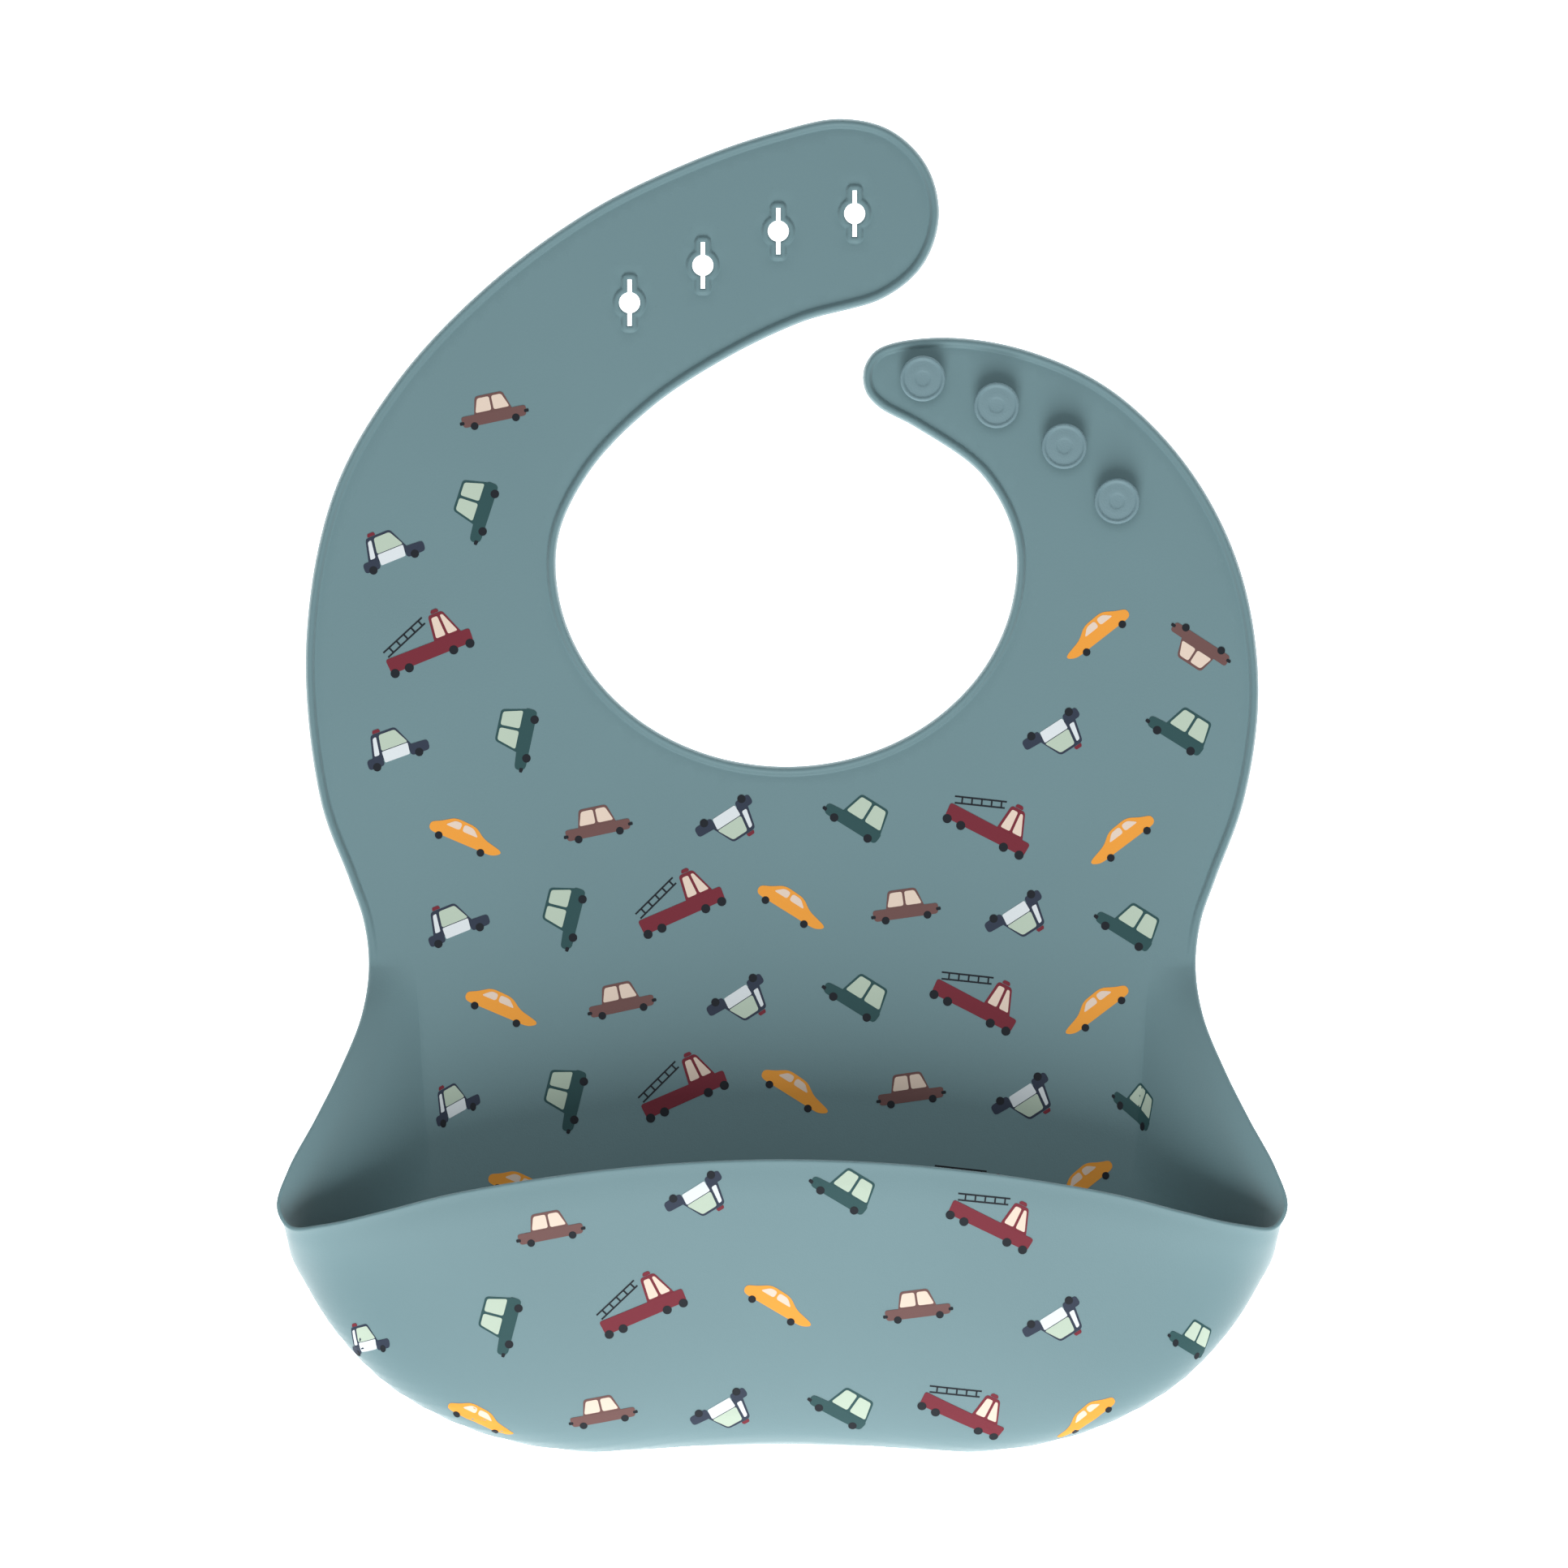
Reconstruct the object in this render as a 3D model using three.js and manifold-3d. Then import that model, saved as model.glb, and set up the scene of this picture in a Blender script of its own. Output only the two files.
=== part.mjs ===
// Silicone baby bib with a catch pocket, lying flat on its back with the pocket upwards.
// Millimetres. +X to the right, +Y from the pocket to the neck, +Z up out of the front.
// The origin is on the back face, in the middle of the bib's outline.
// The bib is one thin flexible moulding, so it is divided where it bends: each piece
// between two flex lines is a solid of its own, and a flex line is a knuckle joint.

import * as THREE from "three";
import { ParametricGeometry } from "three/addons/geometries/ParametricGeometry.js";
import { mergeVertices } from "three/addons/utils/BufferGeometryUtils.js";
import Module from "manifold-3d";

const wasm = await Module();
wasm.setup();

// Driving dimensions.
const SHEET = 1.8; // thickness of the silicone
const BEAD_WIDTH = 2.2; // raised bead along the straps, neck and upper sides
const BEAD_HEIGHT = 2.8; // from the back face
const BEAD_LOWEST_Y = -36; // the bead stops above the pocket
const GAP = 0.3; // clearance between neighbouring pieces
const KNUCKLE_RADIUS = 3; // of the parent's rounded end on a flex line
const KNUCKLE_SIDES = 32;
const FOLD_Y = -16; // the flex line across the chest

const NECK = { x: 0.9, y: 50, rx: 52.4, ry: 45.8 }; // the round lower part of the neck opening
const LEFT_TIP = { x: 14.4, y: 130.5, rx: 21.4, ry: 21.4 }; // end of the strap with holes
const RIGHT_TIP = { x: 26.3, y: 92.8, rx: 8, ry: 8 }; // end of the strap with studs

const STRAP_CENTRE = { x: 1, y: 48 }; // the strap flex lines all point at it
const LEFT_FLEX_DEG = [159, 143, 127]; // yoke to root, root to middle, middle to tip
const RIGHT_FLEX_DEG = [3, 31.7]; // yoke to root, root to tip

const BUTTON_HOLES = [
  [-34.8, 109.9],
  [-18.1, 118.4],
  [-0.9, 126.2],
  [16.5, 130.2],
];
const HOLE = { radius: 2.4, slitHalfWidth: 0.45, slitReach: 5.3 }; // snug on a stud's stem
const COLLAR = { radius: 3.9, slitHalfWidth: 1.8, slitReach: 7.4, height: 0.5 };

const STUDS = [
  [76.2, 64.6],
  [64.2, 77.1],
  [48.8, 86.4],
  [32, 92.5],
];
const STUD_RADII = { foot: 3.2, stem: 2.3, dish: 4.5, head: 5.2 };
const STUD_HEIGHTS = { foot: 2.8, headUnder: 4.5, dish: 6.1, edge: 6.3 }; // from the back face
const STUD_CHAMFER = 0.3;

// Stations of the pocket's wall, from the middle of the lip to the right waist. Each is a
// section: where the wall leaves the flat panel, its widest point, and its free rim.
const CREASE_Z = SHEET / 2;
const POCKET_STATIONS = [
  { crease: [0, -139.5], belly: [0, -149.1, 9], rim: [0, -84.6, 36.6] },
  { crease: [17, -139.5], belly: [23, -149.8, 9], rim: [20, -85.2, 36.5] },
  { crease: [34, -138.5], belly: [47, -150.7, 9.2], rim: [39, -86.8, 36.1] },
  { crease: [49, -135.5], belly: [69.2, -146.2, 9.8], rim: [58, -89.4, 35.2] },
  { crease: [60, -129.5], belly: [88.2, -136.4, 10.6], rim: [76, -92.7, 33.8] },
  { crease: [68, -121], belly: [100.3, -124.4, 11.5], rim: [91, -96.6, 32] },
  { crease: [73.5, -110], belly: [107.3, -113.5, 12.3], rim: [103.5, -99.5, 30.3] },
  { crease: [76.5, -101], belly: [110.8, -105.5, 13], rim: [111.3, -100, 29.6] },
  { crease: [78.5, -92], belly: [108, -98, 14], rim: [114.2, -95.6, 28.8] },
  { crease: [80.3, -82], belly: [102, -88, 15], rim: [111.8, -87, 26] },
  { crease: [81.4, -72], belly: [96.5, -76.5, 12], rim: [106, -76, 21] },
  { crease: [82.3, -61], belly: [92.2, -64, 8], rim: [100.4, -64.5, 14.8] },
  { crease: [83, -50], belly: [89.6, -51.5, 4], rim: [95.8, -52.5, 7.6] },
  { crease: [83.5, -40.4], belly: [88.8, -40.8, 1.2], rim: [94.2, -41, 1.5] },
];
const BELLY_SHARE = 0.35; // how far along a section its widest point is
const FLOOR_TOP_SHARE = BELLY_SHARE - 0.006; // the floor and the front stay a gap apart
const FRONT_BOTTOM_SHARE = BELLY_SHARE + 0.002;
const STATION_SPACING = 10; // about
const CORNER_STATION = 5.6; // stations from a waist to the joint of side and front walls
const SMOOTH_STATIONS = [4, 7]; // the side wall's flat section turns into the front's round one

// How far the handles of a section's curves reach, as shares of the straight distance. A
// pair is for the side walls and for the front.
const CREASE_HANDLE = 0.45;
const BELOW_BELLY_HANDLE = 0.35;
const ABOVE_BELLY_HANDLES = [0.33, 0.14];
const RIM_HANDLES = [0.33, 0.45];
const RIM_STEEPNESS = 0.75; // the front leans in towards its rim, less steep than its chord

// How finely curved surfaces are divided.
const OUTLINE_POINTS = 230;
const CREASE_POINTS = 90;
const HOLE_ARC_SEGMENTS = 10;
const STUD_SIDES = 28;
const FRONT_COLUMNS = 44;
const FRONT_ROWS = 7;
const FLOOR_ROWS = 5;
const SIDE_COLUMNS = 13;
const SIDE_ROWS = 8;

const radians = THREE.MathUtils.degToRad;
const UP = new THREE.Vector3(0, 0, 1);
const FAR = 200; // beyond every edge of the bib
const PAST = 1; // a cut runs this far past the surfaces that it goes through

function onEllipse({ x, y, rx, ry }, fromDeg, toDeg, count) {
  return Array.from({ length: count }, (_, i) => {
    const angle = radians(fromDeg + ((toDeg - fromDeg) * i) / (count - 1));
    return [x + rx * Math.cos(angle), y + ry * Math.sin(angle)];
  });
}

// ---- Joining and cutting ----

// The closed surface of a geometry, as a solid that can be joined and cut.
function solidOf(geometry) {
  const bare = geometry.clone();
  bare.deleteAttribute("normal");
  bare.deleteAttribute("uv");
  const merged = mergeVertices(bare, 1e-4);
  const index = merged.index.array;
  const kept = [];
  for (let i = 0; i < index.length; i += 3) {
    const [a, b, c] = index.slice(i, i + 3);
    if (a !== b && b !== c && c !== a) kept.push(a, b, c);
  }
  return new wasm.Manifold(
    new wasm.Mesh({
      numProp: 3,
      vertProperties: merged.attributes.position.array,
      triVerts: new Uint32Array(kept),
    }),
  );
}

function geometryOf(solid) {
  const made = solid.getMesh();
  return new THREE.BufferGeometry()
    .setAttribute("position", new THREE.BufferAttribute(made.vertProperties, 3))
    .setIndex(new THREE.BufferAttribute(made.triVerts, 1))
    .toNonIndexed();
}

function prism(points, bottom, top) {
  const shape = new THREE.Shape(points.map(([x, y]) => new THREE.Vector2(x, y)));
  const geometry = new THREE.ExtrudeGeometry(shape, { depth: top - bottom, bevelEnabled: false });
  return solidOf(geometry.translate(0, 0, bottom));
}

// ---- The flat sheet ----

// The outline from the right waist, round the right strap, the neck and the left strap, to
// the left waist.
const OUTLINE_KNOTS = [
  [94.3, -41],
  [95.5, -31],
  [98.8, -21.5],
  [105.3, -3.5],
  [108.6, 20],
  [106.1, 42.9],
  [99.2, 61.6],
  [88, 78.1],
  [73.1, 91.3],
  [54.9, 99.3],
  [38, 102],
  ...onEllipse(RIGHT_TIP, 98, 236, 5),
  [30.8, 81.2],
  [45.5, 70.6],
  ...onEllipse(NECK, 8, -188, 11),
  [-43.8, 71.5],
  [-30, 85.8],
  [-13.5, 96.8],
  [4.4, 105.4],
  ...onEllipse(LEFT_TIP, -65, 93, 6),
  [-1, 149],
  [-20, 142.5],
  [-43.7, 131],
  [-67.8, 113.3],
  [-88.2, 91.5],
  [-102.3, 66.5],
  [-108.6, 32],
  [-105.3, -3.5],
  [-98.8, -21.5],
  [-95.5, -31],
  [-94.3, -41],
];

function smoothCurve(points) {
  const knots = points.map(([x, y, z = 0]) => new THREE.Vector3(x, y, z));
  return new THREE.CatmullRomCurve3(knots, false, "centripetal");
}

const outline = smoothCurve(OUTLINE_KNOTS).getSpacedPoints(OUTLINE_POINTS);

// The outline moved inwards, which is to the left of its direction.
function inset(points, distance) {
  return points.map((point, i) => {
    const before = points[Math.max(i - 1, 0)];
    const after = points[Math.min(i + 1, points.length - 1)];
    const along = after.clone().sub(before).normalize();
    return new THREE.Vector3(point.x - along.y * distance, point.y + along.x * distance, 0);
  });
}

// A round hole with a slit above and below it, so that a stud's head can push through.
function keyhole({ radius, slitHalfWidth, slitReach }, bottom, top, [x, y]) {
  const bite = Math.asin(slitHalfWidth / radius);
  const quarter = Math.PI / 2;
  const shape = new THREE.Shape();
  shape.absarc(0, 0, radius, bite - quarter, quarter - bite);
  shape.lineTo(slitHalfWidth, slitReach);
  shape.lineTo(-slitHalfWidth, slitReach);
  shape.absarc(0, 0, radius, quarter + bite, 3 * quarter - bite);
  shape.lineTo(-slitHalfWidth, -slitReach);
  shape.lineTo(slitHalfWidth, -slitReach);
  shape.closePath();
  const geometry = new THREE.ExtrudeGeometry(shape, {
    depth: top - bottom,
    bevelEnabled: false,
    curveSegments: HOLE_ARC_SEGMENTS,
  });
  return solidOf(geometry.translate(x, y, bottom));
}

// ---- The pocket's wall ----

const mirrored = ([x, y, z]) => [-x, y, z];
const rightToMiddle = POCKET_STATIONS.map(({ crease, belly, rim }) => ({
  crease: [...crease, CREASE_Z],
  belly,
  rim,
}));
const leftToMiddle = rightToMiddle.slice(1).reverse();
const guideThrough = (name) =>
  smoothCurve([...leftToMiddle.map((s) => mirrored(s[name])), ...rightToMiddle.map((s) => s[name])]);
const guides = { crease: guideThrough("crease"), belly: guideThrough("belly"), rim: guideThrough("rim") };
const LAST_STATION = leftToMiddle.length + rightToMiddle.length - 1;

// The section at a station, as two cubic curves that meet at its widest point.
function section(station) {
  const [crease, belly, rim] = ["crease", "belly", "rim"].map((name) =>
    guides[name].getPoint(station / LAST_STATION),
  );
  const fromWaist = Math.min(station, LAST_STATION - station);
  const roundness = THREE.MathUtils.smoothstep(fromWaist, ...SMOOTH_STATIONS);
  const scaledUp = (vector, steepness) => vector.multiply(new THREE.Vector3(1, 1, steepness));
  const outward = scaledUp(belly.clone().sub(crease), 0).normalize();
  const straight = rim.clone().sub(crease).normalize();
  const rising = straight.lerp(UP, roundness).normalize();
  const towardsRim = scaledUp(rim.clone().sub(belly), RIM_STEEPNESS).normalize();
  const lowerLength = belly.distanceTo(crease);
  const upperLength = rim.distanceTo(belly);
  const aboveBelly = upperLength * THREE.MathUtils.lerp(...ABOVE_BELLY_HANDLES, roundness);
  const belowRim = upperLength * THREE.MathUtils.lerp(...RIM_HANDLES, roundness);
  const lower = new THREE.CubicBezierCurve3(
    crease,
    crease.clone().addScaledVector(outward, CREASE_HANDLE * lowerLength),
    belly.clone().addScaledVector(rising, -BELOW_BELLY_HANDLE * lowerLength),
    belly,
  );
  const upper = new THREE.CubicBezierCurve3(
    belly,
    belly.clone().addScaledVector(rising, aboveBelly),
    rim.clone().addScaledVector(towardsRim, -belowRim),
    rim,
  );
  return { lower, upper, lowerLength };
}

// The middle of the wall, at a station and a share of the way from crease to rim.
function wallPoint(station, share) {
  const { lower, upper } = section(station);
  return share < BELLY_SHARE
    ? lower.getPoint(share / BELLY_SHARE)
    : upper.getPoint((share - BELLY_SHARE) / (1 - BELLY_SHARE));
}

function wallNormal(station, share) {
  const step = 1e-3;
  const along = wallPoint(Math.min(station + step, LAST_STATION), share).sub(
    wallPoint(Math.max(station - step, 0), share),
  );
  const across = wallPoint(station, Math.min(share + step, 1)).sub(
    wallPoint(station, Math.max(share - step, 0)),
  );
  return along.cross(across).normalize();
}

// A stretch of the wall as a solid of the sheet's thickness. Each column of points goes
// up the outside and back down the inside, and the end columns close onto the middle.
// Where no lowest share is given, the wall starts a gap away from the panel.
function wall(stations, shares, columns, rows) {
  const loop = 2 * rows + 2;
  const place = (a, b, target) => {
    const column = THREE.MathUtils.clamp(Math.round(a * (columns + 2)) - 1, 0, columns);
    const isEnd = Math.round(a * (columns + 2)) % (columns + 2) === 0;
    const turn = Math.round(b * loop) % loop;
    const row = turn <= rows ? turn : loop - 1 - turn;
    const station = THREE.MathUtils.lerp(stations[0], stations[1], column / columns);
    const lowest = shares[0] ?? (BELLY_SHARE * GAP) / section(station).lowerLength;
    const share = THREE.MathUtils.lerp(lowest, shares[1], row / rows);
    const side = isEnd ? 0 : turn <= rows ? 1 : -1;
    const offset = wallNormal(station, share).multiplyScalar((side * SHEET) / 2);
    target.copy(wallPoint(station, share)).add(offset);
  };
  return solidOf(new ParametricGeometry(place, columns + 2, loop));
}

// ---- Flex lines ----

// Divides a sheet along a line in the plane: the parent keeps a rounded end on the line,
// and the child, which is the part inside the region, clears it.
function flex(sheet, [x, y], directionDeg, length, region) {
  const knuckle = (radius) => {
    const cylinder = new THREE.CylinderGeometry(radius, radius, length, KNUCKLE_SIDES);
    cylinder.rotateZ(radians(directionDeg) - Math.PI / 2);
    return solidOf(cylinder.translate(x, y, SHEET / 2));
  };
  const beyond = prism(region, -FAR, FAR);
  const parent = sheet.subtract(beyond).add(sheet.intersect(knuckle(KNUCKLE_RADIUS)));
  const child = sheet.intersect(beyond).subtract(knuckle(KNUCKLE_RADIUS + GAP));
  return [parent, child];
}

const fromCentre = (deg, distance) => [
  STRAP_CENTRE.x + distance * Math.cos(radians(deg)),
  STRAP_CENTRE.y + distance * Math.sin(radians(deg)),
];
const centre = [STRAP_CENTRE.x, STRAP_CENTRE.y];
const BETWEEN_STRAPS = [
  [15, 103],
  [60, 108],
];
const ABOVE_LEFT_TIP = [60, 170];
const LAST_CORNER_DEG = 132; // the left region keeps a corner here, to go round the strap
const STRAP_REACH = 150; // beyond both straps, from the strap centre
const MID_STRAP = 80; // distance from the strap centre to the middle of a flex line
const FLEX_LENGTH = 120; // longer than a strap is wide, and clear of the other strap

// Everything of the left strap beyond a flex line, and the same for the right strap.
const leftBeyond = (deg) => [
  centre,
  ...BETWEEN_STRAPS,
  ABOVE_LEFT_TIP,
  fromCentre(Math.min(deg, LAST_CORNER_DEG), STRAP_REACH),
  fromCentre(deg, STRAP_REACH),
];
const rightBeyond = (deg) => [centre, fromCentre(deg, STRAP_REACH), ...[...BETWEEN_STRAPS].reverse()];

function strapFlex(sheet, deg, region) {
  return flex(sheet, fromCentre(deg, MID_STRAP), deg, FLEX_LENGTH, region);
}

// ---- Studs ----

// A mushroom stud: a foot, a stem as tall as a strap is thick, and a head with a raised edge.
function stud() {
  const foot = SHEET + GAP;
  const { headUnder, dish, edge } = STUD_HEIGHTS;
  const profile = [
    [0, foot],
    [STUD_RADII.foot, foot],
    [STUD_RADII.stem, STUD_HEIGHTS.foot],
    [STUD_RADII.stem, headUnder - STUD_CHAMFER],
    [STUD_RADII.head - STUD_CHAMFER, headUnder],
    [STUD_RADII.head, headUnder + STUD_CHAMFER],
    [STUD_RADII.head, edge - STUD_CHAMFER],
    [STUD_RADII.head - STUD_CHAMFER, edge],
    [STUD_RADII.dish, edge],
    [STUD_RADII.dish - STUD_CHAMFER, dish],
    [0, dish],
  ];
  const points = profile.map(([radius, height]) => new THREE.Vector2(radius, height));
  return new THREE.LatheGeometry(points, STUD_SIDES).rotateX(Math.PI / 2);
}

// ---- The pieces ----

const bib = new THREE.Group();
bib.name = "silicone_bib";

function silicone(color, roughness = 0.6) {
  return new THREE.MeshStandardMaterial({ color, roughness, metalness: 0 });
}

function addPiece(name, geometry, material) {
  const mesh = new THREE.Mesh(geometry, material);
  mesh.name = name;
  bib.add(mesh);
  return mesh;
}

const creaseLine = guides.crease.getPoints(CREASE_POINTS);
const flatPoints = [...outline, ...creaseLine].map(({ x, y }) => [x, y]);
const beadStrip = [...outline, ...inset(outline, BEAD_WIDTH).reverse()].map(({ x, y }) => [x, y]);
const aboveY = (y) => [
  [-FAR, y],
  [FAR, y],
  [FAR, FAR],
  [-FAR, FAR],
];

let sheet = prism(flatPoints, 0, SHEET);
const bead = prism(beadStrip, 0, BEAD_HEIGHT).intersect(prism(aboveY(BEAD_LOWEST_Y), -FAR, FAR));
sheet = sheet.add(bead);
for (const place of BUTTON_HOLES) sheet = sheet.add(keyhole(COLLAR, 0, SHEET + COLLAR.height, place));
for (const place of BUTTON_HOLES) sheet = sheet.subtract(keyhole(HOLE, -PAST, BEAD_HEIGHT + PAST, place));

const [lowerPanel, upperSheet] = flex(sheet, [0, FOLD_Y], 0, 2 * FAR, aboveY(FOLD_Y));
const [withoutLeft, leftStrap] = strapFlex(upperSheet, LEFT_FLEX_DEG[0], leftBeyond(LEFT_FLEX_DEG[0]));
const [leftRoot, leftRest] = strapFlex(leftStrap, LEFT_FLEX_DEG[1], leftBeyond(LEFT_FLEX_DEG[1]));
const [leftMiddle, leftTip] = strapFlex(leftRest, LEFT_FLEX_DEG[2], leftBeyond(LEFT_FLEX_DEG[2]));
const [yoke, rightStrap] = strapFlex(withoutLeft, RIGHT_FLEX_DEG[0], rightBeyond(RIGHT_FLEX_DEG[0]));
const [rightRoot, rightTip] = strapFlex(rightStrap, RIGHT_FLEX_DEG[1], rightBeyond(RIGHT_FLEX_DEG[1]));

addPiece("chest_panel", geometryOf(lowerPanel), silicone(0x739297));
addPiece("neck_yoke", geometryOf(yoke), silicone(0x74959b));
addPiece("left_strap_root", geometryOf(leftRoot), silicone(0x74959c));
addPiece("left_strap_middle", geometryOf(leftMiddle), silicone(0x74959c));
addPiece("left_strap_tip", geometryOf(leftTip), silicone(0x74959c));
addPiece("right_strap_root", geometryOf(rightRoot), silicone(0x6f8f95));
addPiece("right_strap_tip", geometryOf(rightTip), silicone(0x6d8b92));

const farCorner = LAST_STATION - CORNER_STATION;
const slit = GAP / 2 / STATION_SPACING; // half a gap, in stations
const frontStations = [CORNER_STATION + slit, farCorner - slit];
addPiece(
  "pocket_floor",
  geometryOf(wall(frontStations, [null, FLOOR_TOP_SHARE], FRONT_COLUMNS, FLOOR_ROWS)),
  silicone(0x87a0a7),
);
addPiece(
  "pocket_front",
  geometryOf(wall(frontStations, [FRONT_BOTTOM_SHARE, 1], FRONT_COLUMNS, FRONT_ROWS)),
  silicone(0x88a1a8),
);
addPiece(
  "pocket_side_left",
  geometryOf(wall([slit * 2, CORNER_STATION - slit], [null, 1], SIDE_COLUMNS, SIDE_ROWS)),
  silicone(0x5b7078),
);
addPiece(
  "pocket_side_right",
  geometryOf(wall([farCorner + slit, LAST_STATION - slit * 2], [null, 1], SIDE_COLUMNS, SIDE_ROWS)),
  silicone(0x5b7078),
);

STUDS.forEach(([x, y], i) => {
  const mesh = addPiece(`stud_${i + 1}`, stud(), silicone(0x7b929e, 0.65));
  mesh.position.set(x, y, 0);
});

export default bib;
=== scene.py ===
"""A silicone bib with a catch pocket, lying on its back and seen from straight above.

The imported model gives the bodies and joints. This script builds the fine surface round them: the
sheet with its edge bead and button-hole collars, the pocket's wall, the studs and the printed
vehicles. Lengths are in millimetres until a mesh is made, and in metres from then on."""

import math
from collections import defaultdict

import bmesh
import bpy
import numpy as np
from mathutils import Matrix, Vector
from mathutils.bvhtree import BVHTree
from mathutils.geometry import delaunay_2d_cdt


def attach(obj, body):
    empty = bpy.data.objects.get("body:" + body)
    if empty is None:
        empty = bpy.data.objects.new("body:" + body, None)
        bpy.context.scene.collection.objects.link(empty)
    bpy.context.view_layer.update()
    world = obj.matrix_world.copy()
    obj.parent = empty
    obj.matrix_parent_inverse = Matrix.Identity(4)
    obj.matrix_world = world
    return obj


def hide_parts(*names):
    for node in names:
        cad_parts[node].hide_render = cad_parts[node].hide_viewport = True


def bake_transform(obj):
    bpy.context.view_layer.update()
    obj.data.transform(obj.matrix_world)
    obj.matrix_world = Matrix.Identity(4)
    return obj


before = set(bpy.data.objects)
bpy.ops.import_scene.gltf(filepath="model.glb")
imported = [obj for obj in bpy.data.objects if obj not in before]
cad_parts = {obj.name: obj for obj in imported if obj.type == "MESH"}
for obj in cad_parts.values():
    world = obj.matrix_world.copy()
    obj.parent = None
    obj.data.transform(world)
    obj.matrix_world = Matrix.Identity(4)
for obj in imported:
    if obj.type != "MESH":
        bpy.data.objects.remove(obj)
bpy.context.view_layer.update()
MM = 0.001

# ---------------------------------------------------------------- dimensions, millimetres

SHEET = 1.8
HALF = SHEET / 2
WAIST = (94.3, -41.0)  # where the flat outline meets the pocket's rim
CREASE_X = 83.5  # where the pocket's side wall starts, at the waist
NECK = dict(x=0.9, y=50.0, rx=52.4, ry=45.8)
LEFT_TIP = dict(x=14.4, y=130.5, rx=21.4, ry=21.4)
RIGHT_TIP = dict(x=26.3, y=92.8, rx=8.0, ry=8.0)

# Height of the edge bead above the sheet, by distance from the edge, with a groove inside it.
BEAD_PROFILE = [
    (0, 0), (0.06, 0.1), (0.18, 0.3), (0.35, 0.62), (0.6, 0.88), (1.0, 1.0), (1.4, 0.95),
    (1.75, 0.62), (2.0, 0.12), (2.2, -0.14), (2.5, -0.12), (3.0, 0),
]
BEAD_FADES = (-46.0, -18.0)  # the bead rises from nothing between these y
RIM_HALF = 0.5  # half the thickness at the pocket's rim
RIM_TAPER = 7.0  # distance from the rim at which the wall is as thick as the sheet
RIM_THINS = (-75.0, -45.0)  # between these y the edge thickens from the rim to the sheet

# Centres of the button holes.
HOLES = [(-34.8, 109.9), (-18.1, 118.4), (-0.9, 126.2), (16.5, 130.2)]
# A round hole's radius, half its slit's width, and how far the slit's ends are from the centre.
HOLE = dict(radius=2.4, slit=0.5, reach=5.3)
# Height of the collar above the sheet, by distance from the hole.
COLLAR_PROFILE = [
    (0, 0.2), (0.15, 0.42), (0.4, 0.5), (0.8, 0.5), (1.1, 0.4), (1.35, 0.05), (1.5, -0.14),
    (1.75, -0.1), (2.2, 0),
]

# Sections of the pocket's wall from the middle of the lip to the right waist: where it leaves
# the flat panel, its widest point, and its free rim.
CREASE, BELLY, RIM = range(3)
STATIONS = [
    ((0, -139.5), (0, -149.1, 9), (0, -84.6, 36.6)),
    ((17, -139.5), (23, -149.8, 9), (20, -85.2, 36.5)),
    ((34, -138.5), (47, -150.7, 9.2), (39, -86.8, 36.1)),
    ((49, -135.5), (69.2, -146.2, 9.8), (58, -89.4, 35.2)),
    ((60, -129.5), (88.2, -136.4, 10.6), (76, -92.7, 33.8)),
    ((68, -121), (100.3, -124.4, 11.5), (91, -96.6, 32)),
    ((73.5, -110), (107.3, -113.5, 12.3), (103.5, -99.5, 30.3)),
    ((76.5, -101), (110.8, -105.5, 13), (111.3, -100, 29.6)),
    ((78.5, -92), (108, -98, 14), (114.2, -95.6, 28.8)),
    ((80.3, -82), (102, -88, 15), (111.8, -87, 26)),
    ((81.4, -72), (96.5, -76.5, 12), (106, -76, 21)),
    ((82.3, -61), (92.2, -64, 8), (100.4, -64.5, 14.8)),
    ((83, -50), (89.6, -51.5, 4), (95.8, -52.5, 7.6)),
    ((CREASE_X, WAIST[1]), (88.8, WAIST[1], HALF), (*WAIST, HALF)),
]
PAST_WAIST = [(84.0, -31), (89.5, -31), (95.5, -31)]  # the lines' next points, on the flat sheet
SMOOTH_STATIONS = (4, 7)  # from the waist: the side's flat section turns into the front's round one
# Handles of a section's two curves, as shares of the distance that each curve spans. Where there
# are two values, they are for a flat section and for a round one.
CREASE_HANDLES = (0.07, 0.45)
BELOW_BELLY_HANDLE = 0.35
ABOVE_BELLY_HANDLES = (0.33, 0.14)
RIM_HANDLES = (0.33, 0.45)
RIM_STEEPNESS = 0.75  # the front leans in towards its rim, less steep than its chord

# Flex lines, as in the model: the strap lines all point at one centre, at these angles in degrees.
STRAP_CENTRE = np.array([1.0, 48.0])
FOLD_Y = -16.0
LEFT_FLEX = dict(left_root=159.0, left_middle=143.0, left_tip=127.0)
RIGHT_FLEX = dict(right_root=3.0, right_tip=31.7)
FLEX_RADIUS = 80  # a point on each strap line is this far from the centre
# Which strap a point above the fold can belong to, by its angle at the centre, which lies between
# the first and the second going anticlockwise. Above LEFT_ABOVE there is only the left strap.
LEFT_ANGLES = (75, 200)
RIGHT_ANGLES = (340, 75)
LEFT_ABOVE = 105
# The stretch of sheet that bends on each flex line, as distances from the line.
BENDS = dict(
    yoke=(-3, 21), left_root=(-2, 12), left_middle=(-2, 11), left_tip=(-2, 12),
    right_root=(-2, 9), right_tip=(-5, 4),
)
PARENT = dict(
    yoke="panel", left_root="yoke", left_middle="left_root", left_tip="left_middle",
    right_root="yoke", right_tip="right_root",
)

# ---------------------------------------------------------------- fineness

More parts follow.
